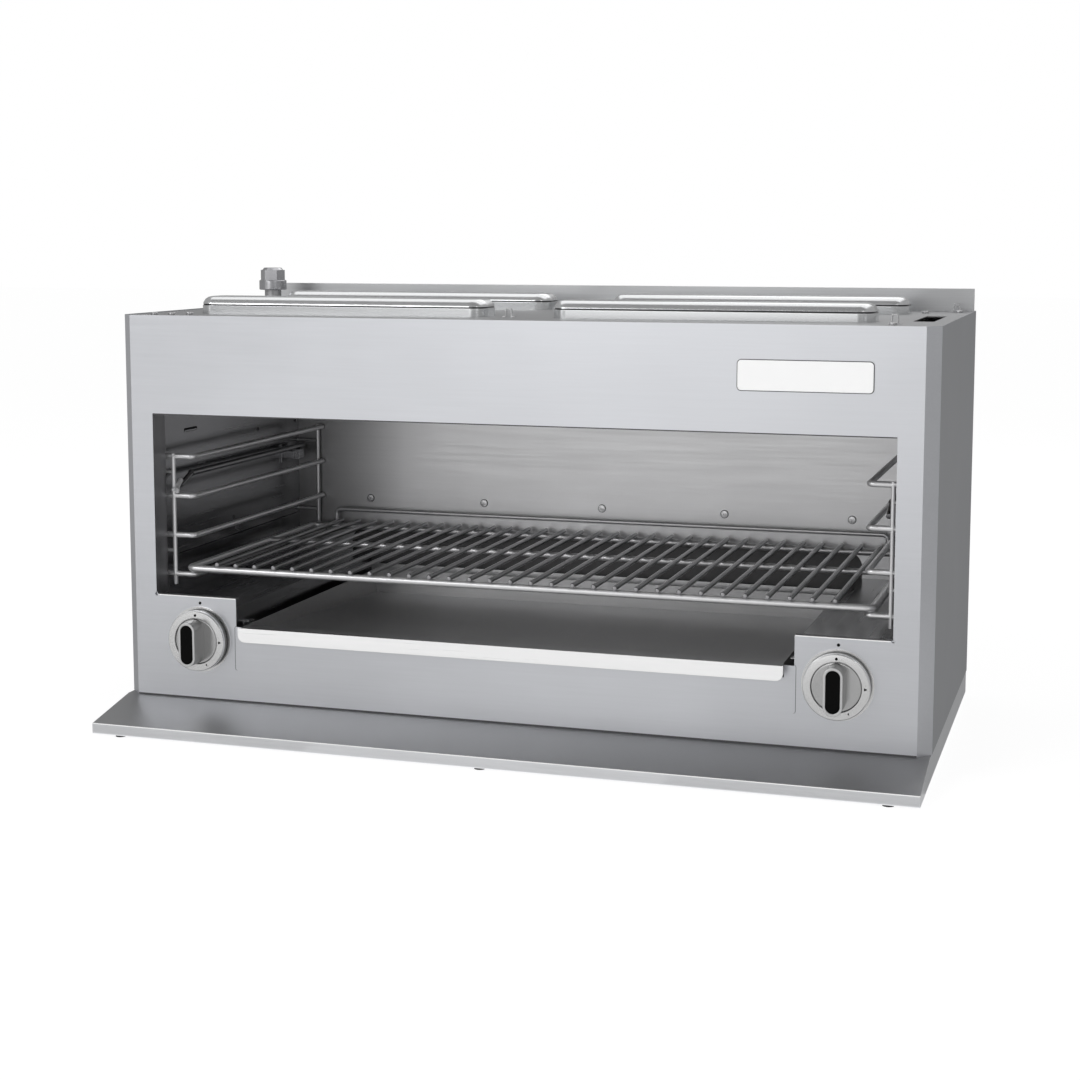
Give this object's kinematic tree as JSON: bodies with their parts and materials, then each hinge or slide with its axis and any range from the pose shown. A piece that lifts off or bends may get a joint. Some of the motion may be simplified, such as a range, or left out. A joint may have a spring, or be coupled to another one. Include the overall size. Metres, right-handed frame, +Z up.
{
  "type": "cheese melter",
  "caption": "Open-fronted gas broiler cabinet with infrared burners in its top, a sliding wire rack on wall runners, a drip tray and a knob at each side.",
  "frame": {"origin": "bottom centre of the whole appliance's box, on the plane that the feet stand on", "axes": "+X to the appliance's right as seen from the front, +Y to the back, +Z up"},
  "size_m": [0.9144, 0.4874, 0.513],
  "materials": {
    "brushed_stainless": "brushed, satin",
    "liner_steel": "mill finish, darkened by heat",
    "aluminised_steel": "aluminised, dull",
    "plated_wire": "nickel plated, bright",
    "bright_fasteners": "plated",
    "tray_steel": "brushed",
    "satin_ring": "turned, bright",
    "grip_metal": "satin metallic",
    "black_inlay": "matt black",
    "white_plate": "white with a dark edge, blank",
    "ceramic": "unglazed ceramic, pierced",
    "black_pipe": "mill scale",
    "cast_fittings": "plated casting",
    "brass_fittings": "machined",
    "aluminium_tube": "drawn tube",
    "foot_pad": "dark pad"
  },
  "bodies": {
    "cabinet": {"base_pan": "brushed_stainless", "base_plate": "brushed_stainless", "base_feet": "foot_pad", "front_panel": "brushed_stainless", "left_side_panel": "brushed_stainless", "right_side_panel": "brushed_stainless", "back_panel": "brushed_stainless", "top_panel": "brushed_stainless", "top_panel_screws": "bright_fasteners", "left_liner": "liner_steel", "right_liner": "liner_steel", "rear_liner": "liner_steel", "rear_liner_screws": "bright_fasteners", "left_control_box": "liner_steel", "right_control_box": "liner_steel", "burner_deck": "aluminised_steel", "front_left_burner": "brushed_stainless", "front_right_burner": "brushed_stainless", "rear_left_burner": "brushed_stainless", "rear_right_burner": "brushed_stainless", "front_left_tiles": "ceramic", "front_right_tiles": "ceramic", "rear_left_tiles": "ceramic", "rear_right_tiles": "ceramic", "left_mixer_tubes": "aluminised_steel", "right_mixer_tubes": "aluminised_steel", "left_orifice_manifold": "black_pipe", "right_orifice_manifold": "black_pipe", "orifice_spuds": "brass_fittings", "left_feed_tube": "aluminium_tube", "right_feed_tube": "aluminium_tube", "gas_riser": "black_pipe", "inlet_coupling": "cast_fittings", "inlet_plug": "cast_fittings", "pipe_fittings": "cast_fittings", "side_feed_pipe": "black_pipe", "gas_manifold": "black_pipe", "left_gas_valve": "brass_fittings", "right_gas_valve": "brass_fittings", "left_pilot_tube": "liner_steel", "right_pilot_tube": "liner_steel", "left_pilot_burner": "liner_steel", "right_pilot_burner": "liner_steel", "knob_bezels": "satin_ring", "left_rack_guide": "plated_wire", "right_rack_guide": "plated_wire", "tray_guides": "bright_fasteners", "nameplate": "white_plate"},
    "left_knob": {"left_valve_stem": "bright_fasteners", "left_knob_ring": "satin_ring", "left_knob_grip": "grip_metal", "left_knob_inlay": "black_inlay"},
    "right_knob": {"right_valve_stem": "bright_fasteners", "right_knob_ring": "satin_ring", "right_knob_grip": "grip_metal", "right_knob_inlay": "black_inlay"},
    "rack": {"rack_frame": "plated_wire", "rack_wires": "plated_wire", "rack_stop": "plated_wire"},
    "tray": {"drip_tray": "tray_steel"}
  },
  "joints": [
    {"name": "left_knob_turn", "type": "hinge", "parent": "cabinet", "child": "left_knob", "pos_m": [-0.362, -0.1627, 0.099], "axis": [0, -1, 0], "range_deg": [0, 150]},
    {"name": "right_knob_turn", "type": "hinge", "parent": "cabinet", "child": "right_knob", "pos_m": [0.362, -0.1627, 0.099], "axis": [0, -1, 0], "range_deg": [0, 150]},
    {"name": "rack_slide", "type": "slide", "parent": "cabinet", "child": "rack", "axis": [0, -1, 0], "range_m": [0, 0.25]},
    {"name": "tray_slide", "type": "slide", "parent": "cabinet", "child": "tray", "axis": [0, -0.9987, 0.0506], "range_m": [0, 0.3]}
  ]
}
